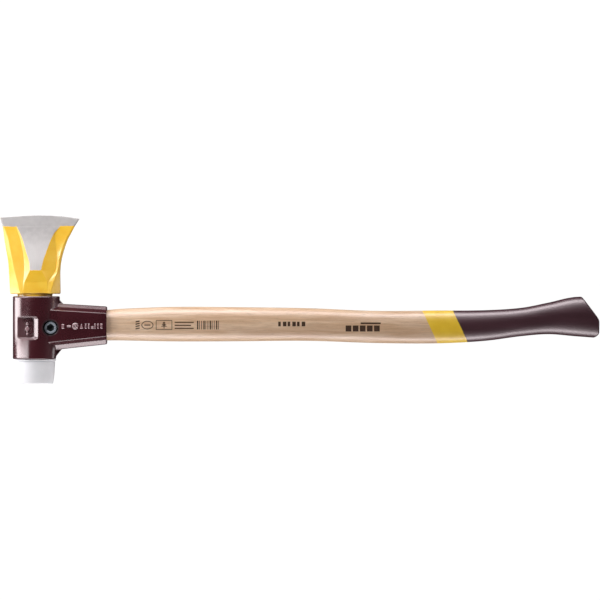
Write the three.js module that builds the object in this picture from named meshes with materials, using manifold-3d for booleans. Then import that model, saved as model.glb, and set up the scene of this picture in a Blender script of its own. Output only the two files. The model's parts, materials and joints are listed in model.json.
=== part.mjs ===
// Splitting maul with replaceable inserts: a hickory handle, a two-part cast housing clamped by one
// screw, a forged splitting blade on one side and a nylon striking face on the other.
//
// Frame: millimetres, +Z up. The tool lies on its side, as on a bench. Its own frame has x along the
// handle, y along the head axis from the nylon face to the cutting edge, and z square to both; the
// origin is the centre of the striking face. The whole tool then turns a little about y, so that the
// barrel and the knob of the handle both touch the surface it lies on.
import * as THREE from "three";
import { mergeVertices } from "three/addons/utils/BufferGeometryUtils.js";
import Module from "manifold-3d";

const wasm = await Module();
wasm.setup();

// ---- Driving dimensions ----

const GAP = 0.3; // clearance between pieces that touch
const LIE_TILT = THREE.MathUtils.degToRad(1.17); // turn about y that brings the knob down to the surface

const HOUSING_BOTTOM = 36.5; // y of the barrel's end at the nylon face
const HOUSING_TOP = 128.5; // y of the barrel's end at the blade
const BARREL_DEPTH = 33.2; // half the barrel's size square to the handle
const BARREL_LEFT = -32.6; // x of the barrel's straight side
const BARREL_RIGHT_BOTTOM = 30.9; // x of its other side, which flares towards the blade
const BARREL_RIGHT_TOP = 36.6;

const BOTTOM_ROUNDING = 1; // bevel of the barrel's end at the nylon face
const TOP_ROUNDING = 1.6;

const SOCKET_END = 106; // x of the mouth that the handle leaves by
const SOCKET_ROOT = { x: 10, centre: 83.5, half: 35.8 }; // inside the barrel
const SOCKET_MOUTH = { centre: 85.7, half: 28 };
const MOUTH_ROUNDING = 2;
const MOUTH_SHARE = 0.95; // size of the mouth's end face against the section behind it
const PANEL_HEIGHT = 25.8; // z of the socket's flat cheeks
// The socket's stepped edges from the parting plane to the cheek, as [distance inwards, z].
const EDGE_ABOVE = [[0, 3], [0.4, 8.4], [5, 12.8], [6, 14.4], [9, 24], [10.4, PANEL_HEIGHT]];
const EDGE_BELOW = [[0, 3], [0.4, 7.2], [7, 12.8], [8, 14.4], [10.8, 24], [12.2, PANEL_HEIGHT]];
const WEB_HALF = 3.5; // half the thickness of the braces
// Pocket for the size mark: its floor's outline, and how far its wall leans out over its rise.
const POCKET = { left: -40, right: -0.3, low: 67.4, high: 98, round: 3.5, wall: 6.2, rise: 5.6 };
const POCKET_LEAN = { low: 0.4, high: 0.1 }; // how far the lower and upper walls lean, against the right one
const POCKET_FLOOR = { height: 26.1, slope: 0.2 }; // at x = 0, and along x

const FACE_BORE = 23.3; // radius of the bore for the nylon face's plug
const FACE_BORE_END = 63;
const FACE_RIB = { low: 44.5, high: 49.5, radius: 20.5 };
const BLADE_BORE = 25.7; // radius of the bore for the blade's plug
const BLADE_BORE_END = 100.5;
const BLADE_RIB = { low: 110, high: 116, radius: 22.5 };
const CHAMBER_RADIUS = 23.3; // cored-out middle of the barrel
const CHAMBER_RIGHT = 11;
const CHAMBER_WALL = 5; // between each bore and the chamber

const SCREW_X = 23.5; // M12 clamp screw, square to the handle's plane
const SCREW_Y = 82.2;
const SCREW_RADIUS = 6;
const SCREW_HEAD_RADIUS = 9;
const SCREW_HEAD_HEIGHT = 12;
const SCREW_LENGTH = 35;
const SCREW_KEY = 10; // across the flats of the hexagon socket
const KEY_DEPTH = 6;
const HEAD_BEVEL = 0.8;
const SCREW_HOLE = 6.6; // radius of the clearance hole
const HEAD_RECESS = 10.8; // radius
const SEAT = 9.5; // z of the faces that the washer and the nut press on
const WASHER_THICKNESS = 2.5;
const NUT_FLATS = 19;
const NUT_HEIGHT = 10;

const BLADE_BASE = 132; // y of the painted body's lower end
const BLADE_PLUG = 25.4; // radius
const EDGE_HALF = 0.5; // half the thickness of the blunt cutting edge

const HANDLE_START = 35;
const HANDLE_END = 830;
const OVAL_POWER = 2.25; // of the handle's section: 2 is an ellipse
const HANDLE_STEPS = 44; // sections along the handle
const HANDLE_SIDES = 32;

const BORE_SIDES = 56; // sides of the barrel, its bores and the inserts' plugs
const FASTENER_SIDES = 40; // sides of the screw and its holes
const BEYOND = 60; // reach of the cutting shapes, past every surface of the head
const OVERCUT = 2; // how far a short cutting shape runs past the face that it cuts

// ---- Helpers ----

const at = (x, y, z) => new THREE.Matrix4().makeTranslation(x, y, z);
const alongZ = new THREE.Matrix4().makeRotationX(Math.PI / 2); // turns a lathe's axis from y to z

// A closed three.js geometry, placed, as a solid that can be joined and cut.
function solid(geometry, place = new THREE.Matrix4()) {
  const source = geometry.index ? geometry.toNonIndexed() : geometry;
  const plain = new THREE.BufferGeometry();
  plain.setAttribute("position", source.getAttribute("position").clone());
  plain.applyMatrix4(place);
  const merged = mergeVertices(plain, 1e-4);
  return new wasm.Manifold(
    new wasm.Mesh({
      numProp: 3,
      vertProperties: merged.attributes.position.array,
      triVerts: new Uint32Array(merged.index.array),
    }),
  );
}

// A solid of revolution about y, from [radius, y] points between two points on the axis.
function turned(profile, sides, place) {
  const points = profile.map(([r, y]) => new THREE.Vector2(r, y));
  return solid(new THREE.LatheGeometry(points, sides), place);
}

// A plain cylinder on the screw's axis between two heights.
function roundBar(radius, low, high) {
  const bar = new THREE.CylinderGeometry(radius, radius, high - low, FASTENER_SIDES);
  return solid(bar, at(SCREW_X, SCREW_Y, (low + high) / 2).multiply(alongZ));
}

// A flat outline in x and y, made solid between two heights.
function plate(outline, low, high) {
  const settings = { depth: high - low, bevelEnabled: false, curveSegments: 8 };
  return solid(new THREE.ExtrudeGeometry(outline, settings), at(0, 0, low));
}

function outlineOf(points) {
  return new THREE.Shape(points.map(([x, y]) => new THREE.Vector2(x, y)));
}

// A hexagon round the screw's axis, by its size across the flats.
function hexagon(flats) {
  const corners = [...Array(6).keys()].map((i) => {
    const turn = (i * Math.PI) / 3 + Math.PI / 6;
    const reach = flats / Math.sqrt(3);
    return [SCREW_X + reach * Math.cos(turn), SCREW_Y + reach * Math.sin(turn)];
  });
  return outlineOf(corners);
}

// A solid through a row of sections that all have the same number of points, closed by flat fans.
function loft(sections) {
  const sides = sections[0].length;
  const triangles = [];
  for (let i = 0; i + 1 < sections.length; i++) {
    for (let j = 0; j < sides; j++) {
      const [a, b] = [sections[i][j], sections[i][(j + 1) % sides]];
      const [c, d] = [sections[i + 1][j], sections[i + 1][(j + 1) % sides]];
      triangles.push(a, b, d, a, d, c);
    }
  }
  const [first, last] = [sections[0], sections[sections.length - 1]];
  for (let j = 1; j + 1 < sides; j++) {
    triangles.push(first[0], first[j + 1], first[j]);
    triangles.push(last[0], last[j], last[j + 1]);
  }
  const made = solid(new THREE.BufferGeometry().setFromPoints(triangles));
  if (made.volume() > 0) return made;
  return solid(new THREE.BufferGeometry().setFromPoints(triangles.reverse()));
}

function meshOf(name, made, material) {
  const { vertProperties, triVerts } = made.getMesh();
  const geometry = new THREE.BufferGeometry();
  geometry.setAttribute("position", new THREE.BufferAttribute(vertProperties, 3));
  geometry.setIndex(new THREE.BufferAttribute(triVerts, 1));
  geometry.computeVertexNormals();
  const mesh = new THREE.Mesh(geometry, material);
  mesh.name = name;
  return mesh;
}

// ---- Housing ----

// The barrel's section at height y: an ellipse between its left and right sides, drawn in by inset.
function barrelSection(y, inset) {
  const rise = (y - HOUSING_BOTTOM) / (HOUSING_TOP - HOUSING_BOTTOM);
  const right = THREE.MathUtils.lerp(BARREL_RIGHT_BOTTOM, BARREL_RIGHT_TOP, rise);
  const centre = (BARREL_LEFT + right) / 2;
  const reach = (right - BARREL_LEFT) / 2 - inset;
  return [...Array(BORE_SIDES).keys()].map((i) => {
    const turn = (i / BORE_SIDES) * 2 * Math.PI;
    const depth = (BARREL_DEPTH - inset) * Math.sin(turn);
    return new THREE.Vector3(centre + reach * Math.cos(turn), y, depth);
  });
}

function barrel() {
  return loft([
    barrelSection(HOUSING_BOTTOM, BOTTOM_ROUNDING),
    barrelSection(HOUSING_BOTTOM + BOTTOM_ROUNDING, 0),
    barrelSection(HOUSING_TOP - TOP_ROUNDING, 0),
    barrelSection(HOUSING_TOP, TOP_ROUNDING),
  ]);
}

// The socket's section at x: two flat cheeks between stepped edges.
function socketSection(x, { centre, half }) {
  const above = EDGE_ABOVE.map(([inwards, z]) => [half - inwards, z]);
  const below = EDGE_BELOW.map(([inwards, z]) => [inwards - half, z]).reverse();
  const front = [...above, ...below];
  const behind = front.map(([y, z]) => [y, -z]).reverse();
  return [...front, ...behind].map(([y, z]) => new THREE.Vector3(x, centre + y, z));
}

function socket() {
  const { centre } = SOCKET_MOUTH;
  const drawnIn = socketSection(SOCKET_END, SOCKET_MOUTH).map(
    (p) => new THREE.Vector3(p.x, centre + (p.y - centre) * MOUTH_SHARE, p.z * MOUTH_SHARE),
  );
  return loft([
    socketSection(SOCKET_ROOT.x, SOCKET_ROOT),
    socketSection(SOCKET_END - MOUTH_ROUNDING, SOCKET_MOUTH),
    drawnIn,
  ]);
}

// Flat webs in the parting plane that brace the socket against both ends of the barrel.
function webs() {
  const upper = outlineOf([[30, 110], [44, 113], [42, 116.6], [35.8, 123.6], [30, 124.4]]);
  const lower = outlineOf([[25, 60], [44, 56], [39.5, 50.8], [31, 40.2], [25, 40]]);
  return plate(upper, -WEB_HALF, WEB_HALF).add(plate(lower, -WEB_HALF, WEB_HALF));
}

// Everything that is cored out of the housing: both insert bores with their ribs, the chamber between
// them, the handle's socket and the holes for the screw.
function core() {
  const faceBore = turned(
    [
      [0, HOUSING_BOTTOM - OVERCUT],
      [FACE_BORE, HOUSING_BOTTOM - OVERCUT],
      [FACE_BORE, FACE_RIB.low],
      [FACE_RIB.radius, FACE_RIB.low],
      [FACE_RIB.radius, FACE_RIB.high],
      [FACE_BORE, FACE_RIB.high],
      [FACE_BORE, FACE_BORE_END],
      [0, FACE_BORE_END],
    ],
    BORE_SIDES,
  );
  const bladeBore = turned(
    [
      [0, BLADE_BORE_END],
      [BLADE_BORE, BLADE_BORE_END],
      [BLADE_BORE, BLADE_RIB.low],
      [BLADE_RIB.radius, BLADE_RIB.low],
      [BLADE_RIB.radius, BLADE_RIB.high],
      [BLADE_BORE, BLADE_RIB.high],
      [BLADE_BORE, HOUSING_TOP + OVERCUT],
      [0, HOUSING_TOP + OVERCUT],
    ],
    BORE_SIDES,
  );
  const chamberLow = FACE_BORE_END + CHAMBER_WALL;
  const chamberHigh = BLADE_BORE_END - CHAMBER_WALL;
  const chamberProfile = [
    [0, chamberLow],
    [CHAMBER_RADIUS, chamberLow],
    [CHAMBER_RADIUS, chamberHigh],
    [0, chamberHigh],
  ];
  const chamberKeep = outlineOf([
    [-BEYOND, chamberLow - OVERCUT],
    [CHAMBER_RIGHT, chamberLow - OVERCUT],
    [CHAMBER_RIGHT, chamberHigh + OVERCUT],
    [-BEYOND, chamberHigh + OVERCUT],
  ]);
  const chamber = turned(chamberProfile, BORE_SIDES).intersect(plate(chamberKeep, -BEYOND, BEYOND));
  const shank = roundBar(SCREW_HOLE, -BEYOND, BEYOND);
  const headRecess = roundBar(HEAD_RECESS, SEAT, BEYOND);
  const nutRecess = plate(hexagon(NUT_FLATS + 2 * GAP), -BEYOND, -SEAT);
  return faceBore
    .add(bladeBore)
    .add(chamber)
    .add(shank)
    .add(headRecess)
    .add(nutRecess)
    .add(handleSolid(GAP));
}

// The pocket's outline, grown outwards by margin and lifted off its floor. Its left end is open.
function pocketOutline(margin, lift) {
  const [left, right] = [POCKET.left, POCKET.right + margin];
  const low = POCKET.low - margin * POCKET_LEAN.low;
  const high = POCKET.high + margin * POCKET_LEAN.high;
  const reach = POCKET.round + margin / 3;
  const path = new THREE.Path();
  path.moveTo(left, low);
  path.absarc(right - reach, low + reach, reach, -Math.PI / 2, 0, false);
  path.absarc(right - reach, high - reach, reach, 0, Math.PI / 2, false);
  path.lineTo(left, high);
  const level = (x) => POCKET_FLOOR.height + POCKET_FLOOR.slope * x + lift;
  return path.getPoints(6).map((p) => new THREE.Vector3(p.x, p.y, level(p.x)));
}

// Shallow pocket for the size mark: a flat slanted floor and leaning walls.
function markPocket() {
  const { wall, rise } = POCKET;
  return loft([pocketOutline(0, 0), pocketOutline(wall, rise), pocketOutline(wall, BEYOND)]);
}

// One half of the housing: everything on one side of the parting plane.
function housingHalf(side) {
  const [right, top] = [SOCKET_END + BEYOND, HOUSING_TOP + BEYOND];
  const around = outlineOf([[-BEYOND, 0], [right, 0], [right, top], [-BEYOND, top]]);
  const [low, high] = side > 0 ? [GAP / 2, BEYOND] : [-BEYOND, -GAP / 2];
  const body = barrel().add(socket()).add(webs()).subtract(core()).subtract(markPocket());
  return body.intersect(plate(around, low, high));
}

// ---- Inserts ----

function nylonFace() {
  const plug = FACE_BORE - GAP;
  const groove = FACE_RIB.radius - GAP;
  return turned(
    [
      [0, 0],
      [24.6, 0],
      [26.3, 0.7],
      [27.3, 2.6],
      [28.6, 14],
      [29.7, 32.9],
      [29.3, 33.2],
      [30.9, 33.7],
      [30.9, 35.8],
      [30.5, HOUSING_BOTTOM - GAP],
      [plug, HOUSING_BOTTOM - GAP],
      [plug, FACE_RIB.low - GAP],
      [groove, FACE_RIB.low - GAP],
      [groove, FACE_RIB.high + GAP],
      [plug, FACE_RIB.high + GAP],
      [plug, FACE_BORE_END - 2],
      [plug - 1, FACE_BORE_END - 1],
      [0, FACE_BORE_END - 1],
    ],
    BORE_SIDES,
  );
}

// Feature lines of the blade's cheek, each from the base up to the cutting edge as [x, y, z]:
// the two rims, the inner lines of the rim chamfers, the creases between cheek and raised centre,
// the borders of the bare centre itself, and the middle of that centre.
const BLADE_LINES = {
  rimLeft: [
    [-36.3, 132, 12], [-37.2, 149, 10.6], [-38.2, 167, 9.2], [-39.2, 179, 8], [-41.6, 193, 6.6],
    [-44.8, 211, 4.8], [-46, 221, 3.8], [-47.6, 231, 2.8], [-50.6, 243.6, EDGE_HALF],
  ],
  chamferLeft: [
    [-21.5, 132, 26.5], [-24.9, 149, 22.2], [-30, 167, 17.6], [-32.5, 179, 14.6], [-35.4, 193, 11.4],
    [-38.9, 211, 7.6], [-41.5, 221, 5.7], [-46, 231.2, 3.8], [-49.5, 243.8, EDGE_HALF],
  ],
  creaseLeft: [
    [-17.5, 132, 26.5], [-15.9, 147.7, 23.2], [-15, 165, 18.2], [-15.3, 179, 14.7], [-17, 193, 11.5],
    [-21, 211.5, 7.6], [-24.5, 221, 5.7], [-28, 231, 3.9], [-29, 245, EDGE_HALF],
  ],
  centreLeft: [
    [-16.8, 132, 26.5], [-15.2, 148, 23.7], [-6.6, 166.8, 23.9], [-7.8, 179, 21], [-12.2, 193, 16.8],
    [-17.8, 211.5, 10.6], [-21.6, 221, 7.5], [-27.2, 231.6, 4.2], [-28, 245, EDGE_HALF],
  ],
  middle: [
    [1.6, 132, 26.5], [1.9, 149.2, 24], [1.5, 166.8, 24.2], [2.2, 179, 21.3], [2.3, 193, 17.1],
    [2.9, 211.5, 10.9], [3.4, 221, 7.8], [4.2, 232, 4.4], [4.4, 246.6, EDGE_HALF],
  ],
  centreRight: [
    [20, 132, 26.5], [19, 150.4, 23.6], [9.6, 166.8, 23.9], [12.2, 179, 21], [16.8, 193, 16.8],
    [23.6, 211.5, 10.6], [28.3, 221, 7.5], [37.6, 232, 4.2], [39.6, 245.3, EDGE_HALF],
  ],
  creaseRight: [
    [20.6, 132, 26.5], [20, 150, 22.9], [31, 164, 18.2], [33.2, 179, 14.7], [31.9, 193, 11.5],
    [29.8, 211.5, 7.8], [30.2, 221, 6.1], [38.5, 231.8, 3.9], [40.5, 245.2, EDGE_HALF],
  ],
  chamferRight: [
    [23, 132, 26.5], [28, 149, 22.2], [33.4, 165, 17.6], [35.2, 179, 14.4], [38.6, 193, 11.4],
    [45.3, 211.5, 7.4], [50.8, 221, 5.5], [57, 232, 3.6], [63.5, 242, EDGE_HALF],
  ],
  rimRight: [
    [37.3, 132, 12], [37, 149, 10.6], [36.9, 165, 9.2], [38.3, 179, 8], [41.6, 193, 6.6],
    [47.8, 211, 4.8], [53, 221, 3.8], [58.8, 232, 2.8], [64.7, 241.7, EDGE_HALF],
  ],
};

function splittingBlade() {
  const front = Object.values(BLADE_LINES);
  const sections = front[0].map((_, i) => {
    const facing = front.map((line) => new THREE.Vector3(...line[i]));
    const behind = facing.map((p) => new THREE.Vector3(p.x, p.y, -p.z)).reverse();
    return [...facing, ...behind];
  });
  const plug = BLADE_BORE - GAP;
  const groove = BLADE_RIB.radius - GAP;
  const stem = turned(
    [
      [0, BLADE_BORE_END + 1],
      [plug - 1.5, BLADE_BORE_END + 1],
      [plug, BLADE_BORE_END + 2.5],
      [plug, BLADE_RIB.low - GAP],
      [groove, BLADE_RIB.low - GAP],
      [groove, BLADE_RIB.high + GAP],
      [plug, BLADE_RIB.high + GAP],
      [plug, BLADE_BASE + 2],
      [0, BLADE_BASE + 2],
    ],
    BORE_SIDES,
  );
  return loft(sections).add(stem);
}

// ---- Handle ----

// Where the handle's section changes: x, then the height of its centre line, half its height and
// half its depth. The first stations are the flared end that the housing grips.
const HANDLE_STATIONS = [
  [20, 84.6, 27.3, 20.8],
  [60, 85.2, 25.2, 19.8],
  [100, 85.7, 22.4, 18.4],
  [125, 86.8, 23.2, 18.4],
  [200, 87.5, 25.3, 18],
  [290, 87.4, 25.1, 17.4],
  [400, 87, 24, 16.6],
  [500, 83.4, 23.6, 16],
  [590, 83.4, 24.1, 15.4],
  [660, 85.4, 22.6, 14.8],
  [715, 90.7, 20.9, 14.5],
  [755, 96, 23.3, 15.2],
  [795, 98.6, 29, 17],
  [850, 95.6, 30, 15.4],
];

const handleCurves = [1, 2, 3].map(
  (row) => new THREE.SplineCurve(HANDLE_STATIONS.map((s) => new THREE.Vector2(s[0], s[row]))),
);

// The curve's second value where its first one is x.
function valueAt(curve, x) {
  let [low, high] = [0, 1];
  for (let i = 0; i < 24; i++) {
    const middle = (low + high) / 2;
    if (curve.getPoint(middle).x < x) low = middle;
    else high = middle;
  }
  return curve.getPoint(low).y;
}

// Section of the handle at x, a slightly squared oval, grown outwards by margin.
function handleSection(x, margin) {
  const [centre, half, depth] = handleCurves.map((curve) => valueAt(curve, x));
  const bulge = (v) => Math.sign(v) * Math.abs(v) ** (2 / OVAL_POWER);
  return [...Array(HANDLE_SIDES).keys()].map((j) => {
    const turn = (j / HANDLE_SIDES) * 2 * Math.PI;
    const y = centre + (half + margin) * bulge(Math.cos(turn));
    return new THREE.Vector3(x, y, (depth + margin) * bulge(Math.sin(turn)));
  });
}

function handleSolid(margin) {
  const length = HANDLE_END - HANDLE_START;
  const sections = [...Array(HANDLE_STEPS + 1).keys()].map((i) =>
    handleSection(HANDLE_START - margin + (i / HANDLE_STEPS) * (length + 2 * margin), margin),
  );
  return loft(sections);
}

// The knob ends in a slanted flat above a short upright one, with its lower corner taken off.
function hickoryHandle() {
  const keep = outlineOf([
    [HANDLE_START, 0], [815, 0], [815, 67.6], [824.2, 68.4], [829, 73.5], [829, 93.8],
    [806.6, 123.6], [802, 127], [HANDLE_START, 200],
  ]);
  return handleSolid(0).intersect(plate(keep, -BEYOND, BEYOND));
}

// ---- Fasteners ----

const screwHeadLow = SEAT + GAP + WASHER_THICKNESS + GAP;
const screwHeadTop = screwHeadLow + SCREW_HEAD_HEIGHT;

function clampScrew() {
  const head = turned(
    [
      [0, screwHeadLow],
      [SCREW_HEAD_RADIUS, screwHeadLow],
      [SCREW_HEAD_RADIUS, screwHeadTop - HEAD_BEVEL],
      [SCREW_HEAD_RADIUS - HEAD_BEVEL, screwHeadTop],
      [0, screwHeadTop],
    ],
    FASTENER_SIDES,
    at(SCREW_X, SCREW_Y, 0).multiply(alongZ),
  );
  const shank = roundBar(SCREW_RADIUS, screwHeadLow - SCREW_LENGTH, screwHeadLow + OVERCUT);
  const key = plate(hexagon(SCREW_KEY), screwHeadTop - KEY_DEPTH, screwHeadTop + OVERCUT);
  return head.add(shank).subtract(key);
}

// Spring lock washer: one turn of square wire with a slit, whose half angle is given in radians.
function lockWasher() {
  const [inner, outer, slit] = [SCREW_RADIUS + 0.4, SCREW_HEAD_RADIUS, 0.12];
  const outline = new THREE.Shape();
  outline.absarc(SCREW_X, SCREW_Y, outer, slit, 2 * Math.PI - slit, false);
  outline.absarc(SCREW_X, SCREW_Y, inner, 2 * Math.PI - slit, slit, true);
  const settings = { depth: WASHER_THICKNESS, bevelEnabled: false, curveSegments: 32 };
  return solid(new THREE.ExtrudeGeometry(outline, settings), at(0, 0, SEAT + GAP));
}

function clampNut() {
  const low = -SEAT - GAP - NUT_HEIGHT;
  const body = plate(hexagon(NUT_FLATS), low, low + NUT_HEIGHT);
  return body.subtract(roundBar(SCREW_RADIUS + GAP, low - OVERCUT, low + NUT_HEIGHT + OVERCUT));
}

// ---- Materials ----

const finish = (color, roughness, metalness) =>
  new THREE.MeshStandardMaterial({ color, roughness, metalness });
const castPaint = finish(0x3a1218, 0.32, 0.1);
const bladePaint = finish(0xf2b233, 0.4, 0.1);
const nylon = finish(0xdcd8dc, 0.45, 0);
const hickory = finish(0xc79c72, 0.5, 0);
const darkSteel = finish(0x3a3f47, 0.4, 0.9);
const zincSteel = finish(0x9a9ca0, 0.45, 0.9);

// ---- Assembly ----

const tool = new THREE.Group();
tool.rotation.y = LIE_TILT;
tool.add(
  meshOf("front_housing", housingHalf(1), castPaint),
  meshOf("rear_housing", housingHalf(-1), castPaint),
  meshOf("splitting_blade", splittingBlade(), bladePaint),
  meshOf("nylon_face", nylonFace(), nylon),
  meshOf("hickory_handle", hickoryHandle(), hickory),
  meshOf("clamp_screw", clampScrew(), darkSteel),
  meshOf("lock_washer", lockWasher(), zincSteel),
  meshOf("clamp_nut", clampNut(), zincSteel),
);

const maul = new THREE.Group();
maul.add(tool);

export default maul;
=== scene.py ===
"""Looks of the splitting maul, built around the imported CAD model.

Shapes are worked out in the tool's own frame, in millimetres: x along the handle, y from the nylon face
to the cutting edge, z square to both. piece() turns them into the row's frame, in metres.
"""

import json
import math

import bmesh
import bpy
import numpy as np
from mathutils import Matrix, Vector

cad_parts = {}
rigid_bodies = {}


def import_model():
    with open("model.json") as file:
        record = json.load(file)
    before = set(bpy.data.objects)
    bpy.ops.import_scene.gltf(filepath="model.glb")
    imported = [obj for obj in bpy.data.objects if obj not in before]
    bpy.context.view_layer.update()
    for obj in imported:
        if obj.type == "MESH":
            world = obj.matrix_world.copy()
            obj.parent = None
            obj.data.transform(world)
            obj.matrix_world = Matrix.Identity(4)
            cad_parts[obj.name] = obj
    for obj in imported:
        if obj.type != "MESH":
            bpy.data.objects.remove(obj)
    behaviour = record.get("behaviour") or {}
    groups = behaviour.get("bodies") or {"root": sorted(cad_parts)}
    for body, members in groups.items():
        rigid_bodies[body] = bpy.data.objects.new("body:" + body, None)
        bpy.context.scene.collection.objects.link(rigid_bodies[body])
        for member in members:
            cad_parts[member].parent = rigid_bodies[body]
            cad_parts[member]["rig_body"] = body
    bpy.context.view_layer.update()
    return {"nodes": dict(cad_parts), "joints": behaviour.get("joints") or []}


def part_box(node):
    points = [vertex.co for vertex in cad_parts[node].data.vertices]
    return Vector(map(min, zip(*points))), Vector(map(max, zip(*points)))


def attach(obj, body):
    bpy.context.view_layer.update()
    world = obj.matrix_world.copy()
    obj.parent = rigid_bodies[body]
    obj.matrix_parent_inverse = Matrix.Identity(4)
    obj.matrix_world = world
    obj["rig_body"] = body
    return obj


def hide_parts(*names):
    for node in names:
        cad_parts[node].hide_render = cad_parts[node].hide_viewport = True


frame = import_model()

MM = 0.001

# ---- What the frame says ----

joints = {j["name"]: j for j in frame["joints"]}
screw_joint = joints["clamp_screw_turn"]
lean = math.atan2(screw_joint["axis"][0], screw_joint["axis"][2])
TOOL = Matrix.Rotation(lean, 4, "Y") @ Matrix.Scale(MM, 4)
INTO_TOOL = TOOL.inverted()


def tool_box(node):
    """Lowest and highest corners of a CAD node in the tool's frame, in millimetres."""
    points = np.array([INTO_TOOL @ v.co for v in frame["nodes"][node].data.vertices])
    return points.min(0), points.max(0)


housing_low, housing_high = tool_box("front_housing")
HOUSING_BOTTOM = float(housing_low[1])
HOUSING_TOP = float(housing_high[1])
BARREL_LEFT = float(housing_low[0])
BARREL_DEPTH = float(housing_high[2])
SOCKET_END = float(housing_high[0])
SPLIT = float(housing_low[2])  # half the gap between the housing halves
screw_low, screw_high = tool_box("clamp_screw")
SCREW = INTO_TOOL @ Vector(screw_joint["pos_m"])
washer_low, washer_high = tool_box("lock_washer")
nut_low, nut_high = tool_box("clamp_nut")
handle_low, handle_high = tool_box("hickory_handle")

AXIS = 0.01  # radius at which a turned profile starts and ends, so that it closes on its axis
BEYOND = 45  # z past both cheeks, for what is cut right through them
GAP = 0.3  # clearance between pieces that touch
HANDLE_ROOM = 0.7  # more than GAP, because smoothing the casting closes the socket up a little
NUT_ROOM = 0.8
BARREL_RIGHT_BOTTOM = 30.9  # x of the barrel's right side at its lower end
BARREL_RIGHT_TOP = 36.6  # and at its upper end
PANEL_HEIGHT = 25.8  # z of the flat cheek


# ---- Mesh helpers ----


def piece(name, vertices, faces):
    """A mesh object from points in the tool's frame."""
    mesh = bpy.data.meshes.new(name)
    points = np.asarray(vertices, float).reshape(-1, 3)
    mesh.from_pydata(points.tolist(), [], [list(f) for f in faces])
    mesh.transform(TOOL)
    mesh.validate()
    made = bpy.data.objects.new(name, mesh)
    bpy.context.scene.collection.objects.link(made)
    outward(made)
    return made


def outward(obj):
    """Turns all faces of a closed mesh to look out."""
    work = bmesh.new()
    work.from_mesh(obj.data)
    bmesh.ops.remove_doubles(work, verts=work.verts, dist=1e-7)
    bmesh.ops.recalc_face_normals(work, faces=work.faces)
    work.to_mesh(obj.data)
    work.free()


def apply_modifiers(obj):
    bpy.context.view_layer.update()
    graph = bpy.context.evaluated_depsgraph_get()
    mesh = bpy.data.meshes.new_from_object(obj.evaluated_get(graph))
    obj.modifiers.clear()
    obj.data = mesh
    mesh.name = obj.name
    return obj


def boolean(obj, other, operation):
    """Joins other to obj or cuts it out, and removes other."""
    change = obj.modifiers.new("boolean", "BOOLEAN")
    change.operation = operation
    change.solver = "EXACT"
    change.object = other
    apply_modifiers(obj)
    bpy.data.objects.remove(other)
    return obj


def grid_faces(rows, columns):
    """Quads between neighbouring rows of points, each row closed on itself."""
    faces = []
    for i in range(rows - 1):
        for j in range(columns):
            k = (j + 1) % columns
            faces.append((i * columns + j, i * columns + k, (i + 1) * columns + k, (i + 1) * columns + j))
    return faces


def loft(name, sections):
    """A tube of quads through sections of equally many points, closed by an n-gon at each end."""
    points = np.asarray(sections, float)
    rows, columns = points.shape[:2]
    faces = grid_faces(rows, columns)
    faces.append(tuple(range(columns)))
    faces.append(tuple((rows - 1) * columns + j for j in range(columns)))
    return piece(name, points, faces)


def turned(name, profile, sides, centre=(0.0, 0.0), about="Y"):
    """A solid of revolution from [radius, height] points; the ends are closed on the axis."""
    turn = np.linspace(0, 2 * math.pi, sides, endpoint=False)
    sections = []
    for radius, height in profile:
        across = centre[0] + radius * np.cos(turn)
        other = centre[1] + radius * np.sin(turn)
        level = np.full(sides, height)
        if about == "Y":
            sections.append(np.stack([across, level, other], 1))
        else:
            sections.append(np.stack([across, other, level], 1))
    return loft(name, sections)


def arc(centre, radius, start, end, steps):
    """Points on a circle's arc, angles in degrees."""
    turns = np.radians(np.linspace(start, end, steps))
    return [(centre[0] + radius * math.cos(t), centre[1] + radius * math.sin(t)) for t in turns]


def slab(name, outline, low, high):
    """A flat outline in x and y made solid between two heights."""
    return loft(name, [[(x, y, z) for x, y in outline] for z in (low, high)])


def box_solid(name, low, high):
    outline = [(low[0], low[1]), (high[0], low[1]), (high[0], high[1]), (low[0], high[1])]
    return slab(name, outline, low[2], high[2])


def hexagon(flats, x, y):
    """A hexagon's corners round a point, with two of its sides along y."""
    turns = [math.radians(30 + 60 * i) for i in range(6)]
    reach = flats / math.sqrt(3)
    return [(x + reach * math.cos(t), y + reach * math.sin(t)) for t in turns]


def vertex_values(obj, key):
    """The places or the normals of a mesh's points, one row each."""
    values = np.empty(len(obj.data.vertices) * 3)
    obj.data.vertices.foreach_get(key, values)
    return values.reshape(-1, 3)


def tool_points(obj):
    """The mesh's points in the tool's frame, in millimetres."""
    matrix = np.array(INTO_TOOL)
    return vertex_values(obj, "co") @ matrix[:3, :3].T + matrix[:3, 3]


def hermite(a, b, start, end, t):
    """A point on the smooth curve from a to b that leaves and arrives with the given slopes."""
    return ((2 * t**3 - 3 * t**2 + 1) * a + (t**3 - 2 * t**2 + t) * start
            + (3 * t**2 - 2 * t**3) * b + (t**3 - t**2) * end)


def put_attribute(obj, name, values):
    layer = obj.data.attributes.new(name, "FLOAT", "POINT")
    layer.data.foreach_set("value", np.asarray(values, np.float32))


def shade(obj, angle=None):
    """Smooth shading, with sharp edges over the angle in degrees if one is given."""
    obj.data.polygons.foreach_set("use_smooth", [True] * len(obj.data.polygons))
    if angle is None:
        return
    work = bmesh.new()
    work.from_mesh(obj.data)
    for edge in work.edges:
        if len(edge.link_faces) == 2:
            edge.smooth = edge.calc_face_angle(0) < math.radians(angle)
    work.to_mesh(obj.data)
    work.free()


def install(obj, node, material):
    """Gives a finished piece its material and lets it stand for its CAD node."""
    obj.data.materials.clear()
    obj.data.materials.append(material)
    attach(obj, frame["nodes"][node]["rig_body"])
    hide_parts(node)
    return obj


# ---- Shader helpers ----


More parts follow.
